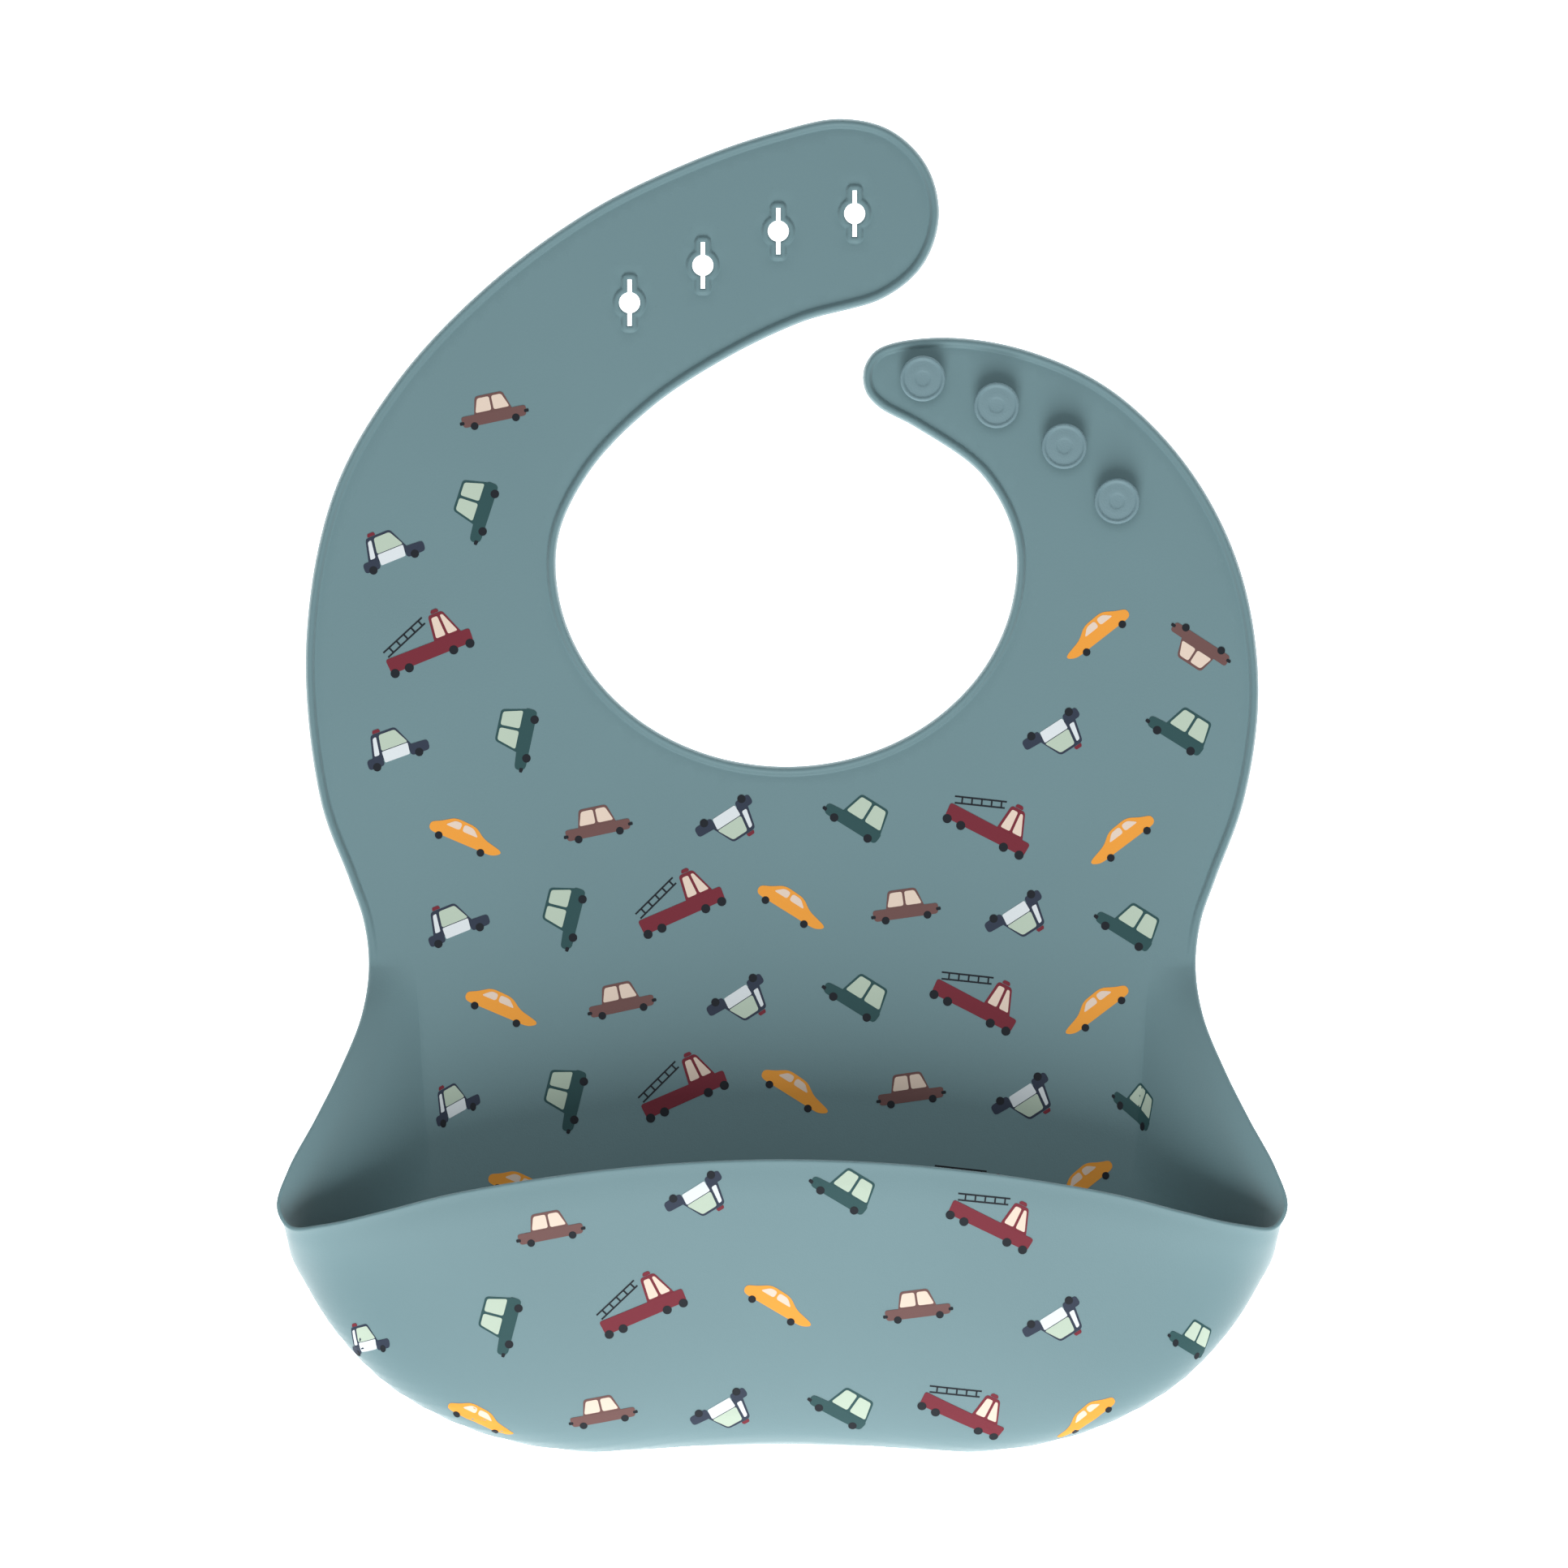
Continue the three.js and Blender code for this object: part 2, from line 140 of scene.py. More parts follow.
OUTLINE_STEPS = 24  # points between two knots of the outline, before they are spaced evenly
OUTLINE_SPACING = 1.2
COLUMNS_PER_STATION = 10
SECTION_STEPS = 60  # points in each of a section's two curves
WALL_ROWS = 30  # below the rounded rim
GRID = 2.2  # spacing of points in the flat sheet
GRID_ROW = 0.87 * GRID  # from one row of points to the next
CLEARANCE = 0.45  # between those points and an edge, as a share of their spacing
HOLE_ARC_POINTS = 9  # in a quarter of the round hole
SLIT_POINTS = 6  # along one side of a slit
SLIT_CORNER_ANGLES = (18, 36, 54, 72)  # round the corner at a slit's end
STUD_SIDES = 72
SAME_POINT = 2e-6  # metres: points closer than this are one
NO_LENGTH = 1e-7  # metres: edges shorter than this are taken out
ON_BORDER = 1e-6  # metres: points closer to a cut than this lie on it
INSIDE_EDGES = 1  # the triangulation fills only what its edges enclose
TRIANGULATION_SNAP = 1e-5

# ---------------------------------------------------------------- curves


def on_ellipse(shape, start, end, count):
    """Points on an ellipse from one angle to another, in degrees."""
    angles = np.radians(np.linspace(start, end, count))
    x, y, rx, ry = (shape[key] for key in ("x", "y", "rx", "ry"))
    return [(x + rx * math.cos(a), y + ry * math.sin(a)) for a in angles]


def smooth_curve(knots, steps):
    """A centripetal Catmull-Rom curve from the second knot to the last but one."""
    p = np.array(knots, float)
    gaps = np.linalg.norm(np.diff(p, axis=0), axis=1) ** 0.5
    t = np.linspace(0, 1, steps, endpoint=False)[:, None]
    stretches = []
    for i in range(1, len(p) - 2):
        a, b, c, d = p[i - 1 : i + 3]
        before, here, after = gaps[i - 1 : i + 2]
        leave = ((b - a) / before - (c - a) / (before + here) + (c - b) / here) * here
        arrive = ((c - b) / here - (d - b) / (here + after) + (d - c) / after) * here
        square = 3 * (c - b) - 2 * leave - arrive
        cube = 2 * (b - c) + leave + arrive
        stretches.append(b + leave * t + square * t**2 + cube * t**3)
    return np.vstack([*stretches, p[-2:-1]])


def lengths_along(points):
    """The distance along a line to each of its points."""
    return np.concatenate([[0], np.cumsum(np.linalg.norm(np.diff(points, axis=0), axis=1))])


def placed_along(points, at):
    """The places on a line at the given distances along it."""
    along = lengths_along(points)
    return np.column_stack([np.interp(at, along, axis) for axis in points.T])


def evenly(points, spacing):
    """The same line with its points a given distance apart."""
    length = lengths_along(points)[-1]
    return placed_along(points, np.linspace(0, length, round(length / spacing) + 1))


def smoothstep(low, high, value):
    """0 up to low, 1 from high on, and an even rise between them."""
    t = np.clip((value - low) / (high - low), 0, 1)
    return t * t * (3 - 2 * t)


def between(pair, share):
    """The value that lies a share of the way from the first of a pair to the second."""
    return pair[0] + (pair[1] - pair[0]) * share


def unit(v):
    """A vector of length 1 in the same direction."""
    return v / np.linalg.norm(v)


def bezier(a, b, c, d, t):
    """Points of a cubic curve."""
    return a * (1 - t) ** 3 + 3 * b * t * (1 - t) ** 2 + 3 * c * t**2 * (1 - t) + d * t**3


# ---------------------------------------------------------------- filling a flat outline


def inside(points, loop):
    """Which of the points lie inside a closed loop."""
    result = np.zeros(len(points), bool)
    x, y = points[:, 0], points[:, 1]
    for (x0, y0), (x1, y1) in zip(loop, np.roll(loop, -1, axis=0)):
        if y0 != y1:
            crosses = (y0 > y) != (y1 > y)
            result ^= crosses & (x < (x1 - x0) * (y - y0) / (y1 - y0) + x0)
    return result


def away_from(others, points, distance):
    """Which of the points are farther than a distance from all the others."""
    nearest = np.array([np.min(np.sum((others - p) ** 2, axis=1)) for p in points])
    return nearest > distance**2


def grid_over(loop, step, row_step):
    """The x and y of a grid of points that covers a loop."""
    low, high = loop.min(0), loop.max(0)
    return np.meshgrid(np.arange(low[0], high[0], step), np.arange(low[1], high[1], row_step))


def loop_edges(first, count):
    """The edges of a closed loop of points that are numbered from first on."""
    return [(first + i, first + (i + 1) % count) for i in range(count)]


def triangulated(points, edges):
    """Points, edges and faces of a triangulation that keeps the given edges."""
    flat = [Vector(p) for p in points]
    made = delaunay_2d_cdt(flat, edges, [], INSIDE_EDGES, TRIANGULATION_SNAP)
    return np.array([tuple(v) for v in made[0]]), made[1], made[2]


# ---------------------------------------------------------------- the flat sheet

# From the pocket's rim below the waist up the right side. The left side mirrors it.
RIGHT_FLANK = [STATIONS[-2][RIM][:2], WAIST, PAST_WAIST[RIM], (98.8, -21.5), (105.3, -3.5)]
OUTLINE_KNOTS = [
    *RIGHT_FLANK,
    (108.6, 20),
    (106.1, 42.9),
    (99.2, 61.6),
    (88, 78.1),
    (73.1, 91.3),
    (54.9, 99.3),
    (38, 102),
    *on_ellipse(RIGHT_TIP, 98, 236, 5),
    (30.8, 81.2),
    (45.5, 70.6),
    *on_ellipse(NECK, 8, -188, 11),
    (-43.8, 71.5),
    (-30, 85.8),
    (-13.5, 96.8),
    (4.4, 105.4),
    *on_ellipse(LEFT_TIP, -65, 93, 6),
    (-1, 149),
    (-20, 142.5),
    (-43.7, 131),
    (-67.8, 113.3),
    (-88.2, 91.5),
    (-102.3, 66.5),
    (-108.6, 32),
    *[(-x, y) for x, y in reversed(RIGHT_FLANK)],
]


def rounded_half(distance, edge=HALF):
    """Half the sheet's thickness near a free edge, which is a half circle of the given radius."""
    thickening = edge + (HALF - edge) * smoothstep(edge, RIM_TAPER, distance)
    return thickening * np.sqrt(1 - (1 - np.minimum(distance, edge) / edge) ** 2)


class Sheet:
    """Points of a thin skin, each with an upper and a lower place, and the faces between them.

    A wall is an edge from which one face goes down from the upper side to the lower side."""

    def __init__(self):
        self.upper, self.lower, self.faces, self.walls = [], [], [], []
        self.count = 0

    def add(self, upper, lower):
        """Adds points, and says which number the first of them has."""
        first = self.count
        self.upper.append(np.asarray(upper, float))
        self.lower.append(np.asarray(lower, float))
        self.count += len(upper)
        return first

    def add_grid(self, upper, lower, closed=False):
        """A grid of points, columns by rows, with its faces. Rows go inwards from the edge."""
        columns, rows = upper.shape[:2]
        first = self.add(upper.reshape(-1, 3), lower.reshape(-1, 3))
        index = first + np.arange(columns * rows).reshape(columns, rows)
        if closed:
            index = np.vstack([index, index[:1]])
        for a, b in zip(index[:-1], index[1:]):
            self.faces += [(a[k], b[k], b[k + 1], a[k + 1]) for k in range(rows - 1)]
        return index

    def mesh(self):
        """One closed bmesh in metres, the points that coincide merged."""
        bm = bmesh.new()
        points = np.vstack([*self.upper, *self.lower]) * MM
        verts = [bm.verts.new(p) for p in points]
        n = self.count
        for face in self.faces:
            bm.faces.new([verts[i] for i in face])
            bm.faces.new([verts[i + n] for i in reversed(face)])
        for a, b in self.walls:
            bm.faces.new([verts[a + n], verts[b + n], verts[b], verts[a]])
        bmesh.ops.remove_doubles(bm, verts=bm.verts, dist=SAME_POINT)
        bmesh.ops.dissolve_degenerate(bm, dist=NO_LENGTH, edges=bm.edges)
        bmesh.ops.recalc_face_normals(bm, faces=bm.faces)
        return bm


def edge_strip(sheet):
    """The bead: rings of points at the profile's distances from the outline."""
    outline = evenly(smooth_curve(OUTLINE_KNOTS, OUTLINE_STEPS), OUTLINE_SPACING)
    along = np.gradient(outline, axis=0)
    inward = np.column_stack([-along[:, 1], along[:, 0]]) / np.linalg.norm(along, axis=1)[:, None]
    # At the waists the strip ends level, where the pocket's wall goes on.
    inward[0], inward[-1] = (-1, 0), (1, 0)
    distance, height = np.array(BEAD_PROFILE, float).T
    places = outline[:, None, :] + inward[:, None, :] * distance[None, :, None]
    bead = height[None, :] * smoothstep(*BEAD_FADES, places[..., 1])
    half = np.broadcast_to(rounded_half(distance), bead.shape)
    upper = np.dstack([places, HALF + half + bead])
    lower = np.dstack([places, HALF - half])
    sheet.add_grid(upper, lower)
    return places[:, -1]


def keyhole(offset):
    """A round hole with a slit above and below it, grown by an offset, as a closed loop."""
    radius, side = HOLE["radius"] + offset, HOLE["slit"] + offset
    meet = math.acos(side / radius)
    round_part = np.linspace(0, meet, HOLE_ARC_POINTS)
    slit_part = np.linspace(radius * math.sin(meet), HOLE["reach"], SLIT_POINTS)
    quarter = [(radius * math.cos(a), radius * math.sin(a)) for a in round_part]
    quarter += [(side, y) for y in slit_part[1:]]
    for a in np.radians(SLIT_CORNER_ANGLES):
        quarter.append((HOLE["slit"] + offset * math.cos(a), HOLE["reach"] + offset * math.sin(a)))
    quarter.append((0, HOLE["reach"] + offset))
    q = np.array(quarter)
    back = q[::-1]
    return np.vstack([q[:-1], (back * (-1, 1))[:-1], (-q)[:-1], (back * (1, -1))[:-1]])


def hole_strip(sheet, centre):
    """The collar round a button hole, and the hole's own wall."""
    offset, height = np.array(COLLAR_PROFILE, float).T
    loops = np.array([keyhole(d) for d in offset]).transpose(1, 0, 2) + centre
    top = np.broadcast_to(SHEET + height, loops.shape[:2])
    index = sheet.add_grid(np.dstack([loops, top]), np.dstack([loops, 0 * top]), closed=True)
    sheet.walls += list(zip(index[1:, 0], index[:-1, 0]))
    return loops[:, -1]


def fill_flat(sheet, boundary, holes):
    """The plain inner part of the sheet: a triangulation of a grid of points between loops."""
    x, y = grid_over(boundary, GRID, GRID_ROW)
    x = x + (np.arange(len(x)) % 2)[:, None] * GRID / 2
    grid = np.column_stack([x.ravel(), y.ravel()])
    loops = [boundary, *holes]
    keep = inside(grid, boundary)
    for hole in holes:
        keep &= ~inside(grid, hole)
    grid = grid[keep & away_from(np.vstack(loops), grid, CLEARANCE * GRID)]
    edges = []
    first = 0
    for loop in loops:
        edges += loop_edges(first, len(loop))
        first += len(loop)
    flat, _, faces = triangulated(np.vstack([*loops, grid]), edges)
    faces = np.array(faces)
    middle = flat[faces].mean(1)
    real = inside(middle, boundary)
    for hole in holes:
        real &= ~inside(middle, hole)
    column = np.ones(len(flat))
    start = sheet.add(np.column_stack([flat, SHEET * column]), np.column_stack([flat, 0 * column]))
    sheet.faces += [tuple(start + f) for f in faces[real]]


# ---------------------------------------------------------------- the pocket's wall


def guide(line):
    """One line along the pocket's wall from the left waist to the right, through the stations."""
    right = [station[line] for station in STATIONS]
    if line == CREASE:
        right = [(x, y, HALF) for x, y in right]
    right.append((*PAST_WAIST[line], HALF))
    knots = [(-x, y, z) for x, y, z in right[:0:-1]] + right
    return smooth_curve(knots, COLUMNS_PER_STATION)


def section(crease, belly, rim, from_waist):
    """A section of the wall, from crease to rim, as two cubic curves that meet at its belly."""
    roundness = smoothstep(*SMOOTH_STATIONS, from_waist)
    straight, up = unit(rim - crease), np.array([0, 0, 1.0])
    outward = unit((belly - crease) * (1, 1, 0))
    rising = unit(straight + (up - straight) * roundness)
    to_rim = unit((rim - belly) * (1, 1, RIM_STEEPNESS))
    low, high = np.linalg.norm(belly - crease), np.linalg.norm(rim - belly)
    past_crease = crease + between(CREASE_HANDLES, roundness) * low * outward
    below_belly = belly - BELOW_BELLY_HANDLE * low * rising
    above_belly = belly + between(ABOVE_BELLY_HANDLES, roundness) * high * rising
    before_rim = rim - between(RIM_HANDLES, roundness) * high * to_rim
    t = np.linspace(0, 1, SECTION_STEPS)[:, None]
    lower = bezier(crease, past_crease, below_belly, belly, t)
    upper = bezier(belly, above_belly, before_rim, rim, t)
    return np.vstack([lower[:-1], upper])


def pocket_wall(sheet):
    """The wall as a grid: columns round the pocket, rows from the rim in to the crease.

    It gives back the middle of the wall's thickness and the wall's outside."""
    lines = [guide(line) for line in (CREASE, BELLY, RIM)]
    columns = len(lines[CREASE])
    edge_rows = np.array([distance for distance, _ in BEAD_PROFILE], float)
    middle = []
    for i in range(columns):
        from_waist = min(i, columns - 1 - i) / COLUMNS_PER_STATION
        curve = section(*(line[i] for line in lines), from_waist)[::-1]
        plain_rows = np.linspace(edge_rows[-1], lengths_along(curve)[-1], WALL_ROWS + 1)[1:]
        middle.append(placed_along(curve, np.concatenate([edge_rows, plain_rows])))
    middle = np.array(middle)
    normal = np.cross(np.gradient(middle, axis=1), np.gradient(middle, axis=0))
    normal /= np.linalg.norm(normal, axis=2)[..., None]
    # The normals point into the pocket, which is up at the crease.
    if normal[0, -1, 2] < 0:
        normal = -normal
    # At both waists and along the crease the wall runs into the flat sheet.
    for flat_edge in (normal[0], normal[-1], normal[:, -1]):
        flat_edge[:] = (0, 0, 1)
    distance = np.linalg.norm(middle - middle[:, :1], axis=2)
    thinned = 1 - smoothstep(*RIM_THINS, middle[:, :1, 1])
    half = rounded_half(distance, HALF - (HALF - RIM_HALF) * thinned)[..., None]
    height = np.concatenate([[rise for _, rise in BEAD_PROFILE], np.zeros(WALL_ROWS)])
    bead = height[None, :, None] * smoothstep(*BEAD_FADES, middle[..., 1:2])
    outside = middle - normal * half
    sheet.add_grid(middle + normal * (half + bead), outside)
    return middle, outside


# ---------------------------------------------------------------- the whole skin

sheet = Sheet()
inner_edge = edge_strip(sheet)
hole_loops = [hole_strip(sheet, np.array(hole)) for hole in HOLES]
wall_middle, wall_outside = pocket_wall(sheet)
rim_rows = len(BEAD_PROFILE)
right_waist = wall_middle[-1, rim_rows:, :2]
left_waist = wall_middle[0, rim_rows:, :2]
crease_line = wall_middle[1:-1, -1, :2]
flat_boundary = np.vstack([inner_edge, left_waist, crease_line, right_waist[::-1]])
fill_flat(sheet, flat_boundary, hole_loops)
skin = sheet.mesh()


def across(body):
    """A point on a body's flex line, and the direction across the line towards the body."""
    if body == "yoke":
        return np.array([0, FOLD_Y]), np.array([0, 1.0])
    angle = math.radians(LEFT_FLEX.get(body) or RIGHT_FLEX[body])
    side = 1 if body in LEFT_FLEX else -1
    cos, sin = math.cos(angle), math.sin(angle)
    return STRAP_CENTRE + FLEX_RADIUS * np.array([cos, sin]), side * np.array([sin, -cos])


def body_at(x, y):
    """Which body's piece of skin a point of the sheet belongs to."""
    p = np.array([x, y])

    def beyond(body):
        point, direction = across(body)
        return np.dot(p - point, direction) > BENDS[body][0]

    if not beyond("yoke"):
        return "panel"
    angle = math.degrees(math.atan2(y - STRAP_CENTRE[1], x - STRAP_CENTRE[0])) % 360
    strap = []
    if LEFT_ANGLES[0] < angle < LEFT_ANGLES[1] or y > LEFT_ABOVE:
        strap = LEFT_FLEX
    elif angle > RIGHT_ANGLES[0] or angle < RIGHT_ANGLES[1]:
        strap = RIGHT_FLEX
    found = "yoke"
    for body in strap:
        if beyond(body):
            found = body
    return found


def bend(obj, body):
    """Bakes the piece's place into its mesh; for the yoke and the straps it first finds the ends of the
    stretch round the body's flex line, which nothing uses.
    """
    if body == "panel":
        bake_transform(obj)
        return
    point, direction = across(body)
    start, end = [(*((point + direction * s) * MM), HALF * MM) for s in BENDS[body]]
    PARENT[body]
    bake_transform(obj)


def divide(bm):
    """Cuts the skin along the borders between pieces."""
    for body, (start, _) in BENDS.items():
        point, direction = across(body)
        border = (point + direction * start) * MM
        # A strap's border line is not to cut the sheet on the other side of the neck.
        outward = (point - STRAP_CENTRE) * MM
        cut = set()
        for face in bm.faces:
            x, y, _ = face.calc_center_median()
            if body == "yoke" or np.dot((x, y) - STRAP_CENTRE * MM, outward) > 0:
                cut.update([face, *face.edges, *face.verts])
        bmesh.ops.bisect_plane(
            bm, geom=list(cut), dist=ON_BORDER, plane_co=(*border, 0), plane_no=(*direction, 0)
        )


def object_of(bm, name, material):
    """A new object made of a bmesh, which is used up."""
    mesh = bpy.data.meshes.new(name)
    bm.to_mesh(mesh)
    bm.free()
    mesh.materials.append(material)
    obj = bpy.data.objects.new(name, mesh)
    bpy.context.collection.objects.link(obj)
    return obj


def part_of(bm, owners, body):
    """A copy of the skin that keeps only the faces of one body."""
    part = bm.copy()
    others = [face for face, owner in zip(part.faces, owners) if owner != body]
    bmesh.ops.delete(part, geom=others, context="FACES")
    return part


# ---------------------------------------------------------------- materials

MOTTLE_SCALE = 28  # of the faint unevenness of colour, per metre
GLOSS_SPREAD = 0.06  # how far the roughness goes up and down


def node_material(name, colour, roughness, grain, grain_size, depth, mottle, specular=0.35):
    """A matt surface: fine grain in the bump, and a faint unevenness of colour and gloss.

    The grain is the bump's strength, with its size and depth in metres. The mottle is the share by
    which the colour goes up and down."""
    material = bpy.data.materials.new(name)
    material.use_nodes = True
    tree = material.node_tree
    shader = tree.nodes["Principled BSDF"]
    link = tree.links.new
    place = tree.nodes.new("ShaderNodeTexCoord")
    clouds = tree.nodes.new("ShaderNodeTexNoise")
    clouds.inputs["Scale"].default_value = MOTTLE_SCALE
    clouds.inputs["Detail"].default_value = 4
    link(place.outputs["Object"], clouds.inputs["Vector"])
    # A colour mix has its factor at input 0, its colours at 6 and 7, and its result at output 2.
    tint = tree.nodes.new("ShaderNodeMix")
    tint.data_type = "RGBA"
    tint.inputs[6].default_value = (*[c * (1 - mottle) for c in colour], 1)
    tint.inputs[7].default_value = (*[c * (1 + mottle) for c in colour], 1)
    link(clouds.outputs["Fac"], tint.inputs[0])
    link(tint.outputs[2], shader.inputs["Base Color"])
    fine = tree.nodes.new("ShaderNodeTexNoise")
    fine.inputs["Scale"].default_value = 1 / grain_size
    fine.inputs["Detail"].default_value = 3
    link(place.outputs["Object"], fine.inputs["Vector"])
    rough = tree.nodes.new("ShaderNodeMapRange")
    rough.inputs["To Min"].default_value = roughness - GLOSS_SPREAD
    rough.inputs["To Max"].default_value = roughness + GLOSS_SPREAD
    link(fine.outputs["Fac"], rough.inputs["Value"])
    link(rough.outputs["Result"], shader.inputs["Roughness"])
    shader.inputs["Specular IOR Level"].default_value = specular
    bump = tree.nodes.new("ShaderNodeBump")
    bump.inputs["Strength"].default_value = grain
    bump.inputs["Distance"].default_value = depth
    link(fine.outputs["Fac"], bump.inputs["Height"])
    link(bump.outputs["Normal"], shader.inputs["Normal"])
    return material, shader


SILICONE = (0.135, 0.228, 0.248)
# The studs' colour is painted lighter than the sheet's: a painted highlight for the light that their
# rounded rims catch.
STUD_SILICONE_PAINTED_HIGHLIGHT = (0.16, 0.252, 0.28)
INKS = dict(
    orange=(0.79, 0.32, 0.045), brown=(0.15, 0.075, 0.07), red=(0.17, 0.022, 0.035),
    green=(0.027, 0.075, 0.078), navy=(0.03, 0.04, 0.065), mint=(0.45, 0.54, 0.44),
    cream=(0.72, 0.58, 0.48), white=(0.66, 0.7, 0.72), black=(0.012, 0.015, 0.02),
)

silicone, silicone_shader = node_material(
    "silicone", SILICONE, roughness=0.55, grain=0.35, grain_size=0.00045, depth=0.00008,
    mottle=0.035, specular=0.25,
)
silicone_shader.inputs["Sheen Weight"].default_value = 0.3
silicone_shader.inputs["Sheen Roughness"].default_value = 0.55
# The studs' material, its colour painted lighter than the sheet's as a highlight.
stud_silicone, _ = node_material(
    "stud_silicone", STUD_SILICONE_PAINTED_HIGHLIGHT, roughness=0.6, grain=0.6, grain_size=0.00035, depth=0.0001,
    mottle=0.05,
)
ink_materials = {}
for ink, colour in INKS.items():
    ink_materials[ink], _ = node_material(
        f"ink_{ink}", colour, roughness=0.6, grain=0.25, grain_size=0.0003, depth=0.00004,
        mottle=0.03, specular=0.15,
    )

# ---------------------------------------------------------------- the printed vehicles

# Generic toy vehicles seen from the side, drawn with the nose to the right, in millimetres.
# Each shape is (ink, layer, corner rounding, corners).
WHEEL_Y = -2.7
WHEEL_CORNERS = 16


def wheels(*places, radius=1.0):
    """Black discs below a vehicle, at the given x."""
    angles = np.linspace(0, 2 * math.pi, WHEEL_CORNERS, endpoint=False)
    return [
        ("black", 2, 0, [(x + radius * math.cos(a), WHEEL_Y + radius * math.sin(a)) for a in angles])
        for x in places
    ]


def bar(start, end, width):
    """The corners of a straight bar."""
    a, b = np.array(start, float), np.array(end, float)
    side = unit(b - a)[::-1] * (-1, 1) * width / 2
    return [tuple(a - side), tuple(b - side), tuple(b + side), tuple(a + side)]


def scaled(scale, drawing):
    """The same drawing at another size."""
    return [
        (ink, layer, rounding * scale, np.array(corners) * scale)
        for ink, layer, rounding, corners in drawing
    ]


COUPE = scaled(0.93, [
    ("orange", 0, 1.4, [
        (-9.0, -2.4), (7.6, -2.4), (9.6, -1.2), (9.4, -0.4), (4.4, 0.7), (1.6, 2.7), (-4.0, 2.9),
        (-7.0, 0.8), (-9.4, -0.3),
    ]),
    ("cream", 1, 0.7, [(-5.7, 0.4), (-3.7, 2.2), (-1.9, 2.2), (-1.9, 0.4)]),
    ("cream", 1, 0.7, [(-1.3, 0.4), (-1.3, 2.2), (1.1, 2.1), (3.0, 0.4)]),
    *wheels(-6.2, 4.9, radius=0.95),
])
SEDAN = scaled(0.89, [
    ("brown", 0, 0.9, [(-5.2, -1.2), (-3.9, 4.7), (3.3, 4.7), (5.3, -1.2)]),
    ("brown", 1, 0.9, [(-8.2, -2.7), (8.2, -2.7), (8.5, 0.0), (-8.5, 0.2)]),
    ("cream", 1, 0.6, [(-4.5, 0.5), (-3.4, 4.1), (-0.3, 4.1), (-0.3, 0.5)]),
    ("cream", 1, 0.6, [(0.3, 0.5), (0.3, 4.1), (2.9, 4.1), (4.4, 0.5)]),
    ("black", 2, 0.3, [(-9.0, -1.9), (-7.8, -1.9), (-7.8, -1.1), (-9.0, -1.1)]),
    ("black", 2, 0.3, [(7.8, -1.9), (9.0, -1.9), (9.0, -1.1), (7.8, -1.1)]),
    *wheels(-5.4, 5.4),
])
HATCHBACK = scaled(0.89, [
    ("green", 0, 0.9, [(-6.9, -1.2), (-5.3, 6.2), (2.9, 6.2), (5.1, -1.2)]),
    ("green", 1, 1.0, [
        (-6.7, -3.0), (8.4, -3.0), (9.1, -1.7), (8.9, -0.2), (4.6, 0.2), (-7.0, 0.2),
    ]),
    ("mint", 1, 0.6, [(-6.1, 0.6), (-4.8, 5.6), (-1.4, 5.6), (-1.4, 0.6)]),
    ("mint", 1, 0.6, [(-0.7, 0.6), (-0.7, 5.6), (2.5, 5.6), (4.0, 0.6)]),
    ("black", 2, 0.3, [(8.4, -2.5), (9.6, -2.3), (9.5, -1.5), (8.4, -1.5)]),
    *wheels(-4.4, 5.7, radius=1.1),
])
PATROL = scaled(0.87, [
    ("navy", 0, 0.9, [(-6.7, -1.4), (-4.9, 5.7), (1.9, 5.7), (5.1, -1.4)]),
    ("navy", 1, 1.0, [(-8.2, -2.9), (-3.8, -2.9), (-3.8, -0.2), (-8.1, -0.2)]),
    ("navy", 1, 1.0, [(3.5, -2.9), (8.7, -2.9), (8.9, -0.2), (3.5, 0.1)]),
    ("white", 1, 0.4, [(-3.6, -2.3), (3.3, -2.3), (3.7, 0.7), (-3.5, 0.7)]),
    ("mint", 1, 0.6, [(-3.5, 0.9), (-2.8, 5.1), (1.6, 5.1), (3.8, 0.9)]),
    ("white", 1, 0.4, [(-5.7, 0.1), (-4.6, 4.7), (-3.6, 4.9), (-4.3, 0.1)]),
    ("red", 1, 0.3, [(-4.3, 5.8), (-2.0, 5.8), (-2.3, 6.7), (-4.0, 6.7)]),
    *wheels(-6.0, 5.7, radius=1.1),
])
RUNGS_X = (-8, -6, -4, -2, 0)
LADDER_SLOPE = 0.38
LADDER_BAR = 0.35  # its width
LADDER_TRUCK = scaled(1.05, [
    ("red", 0, 0.7, [(1.4, -0.8), (2.3, 6.2), (5.6, 6.2), (8.3, -0.8)]),
    ("red", 1, 0.7, [(-9.6, -2.6), (9.5, -2.6), (9.7, 0.5), (-9.8, 0.8)]),
    ("cream", 1, 0.4, [(2.2, 1.0), (2.8, 5.5), (4.2, 5.5), (4.4, 1.0)]),
    ("cream", 1, 0.4, [(5.0, 1.0), (4.8, 5.5), (5.4, 5.5), (7.2, 1.0)]),
    ("red", 1, 0.4, [(3.0, 6.3), (5.0, 6.3), (4.7, 7.1), (3.3, 7.1)]),
    ("black", 0, 0, bar((-9.6, 2.4), (1.0, 6.4), LADDER_BAR)),
    ("black", 0, 0, bar((-9.0, 1.1), (1.2, 5.0), LADDER_BAR)),
    *[
        ("black", 1, 0, bar((x, 5.9 + rise), (x + 0.5, 4.6 + rise), LADDER_BAR))
        for x, rise in [(x, LADDER_SLOPE * x) for x in RUNGS_X]
    ],
    *wheels(-8.9, -5.6, 4.8, 8.6),
])

# ---------------------------------------------------------------- where they are printed

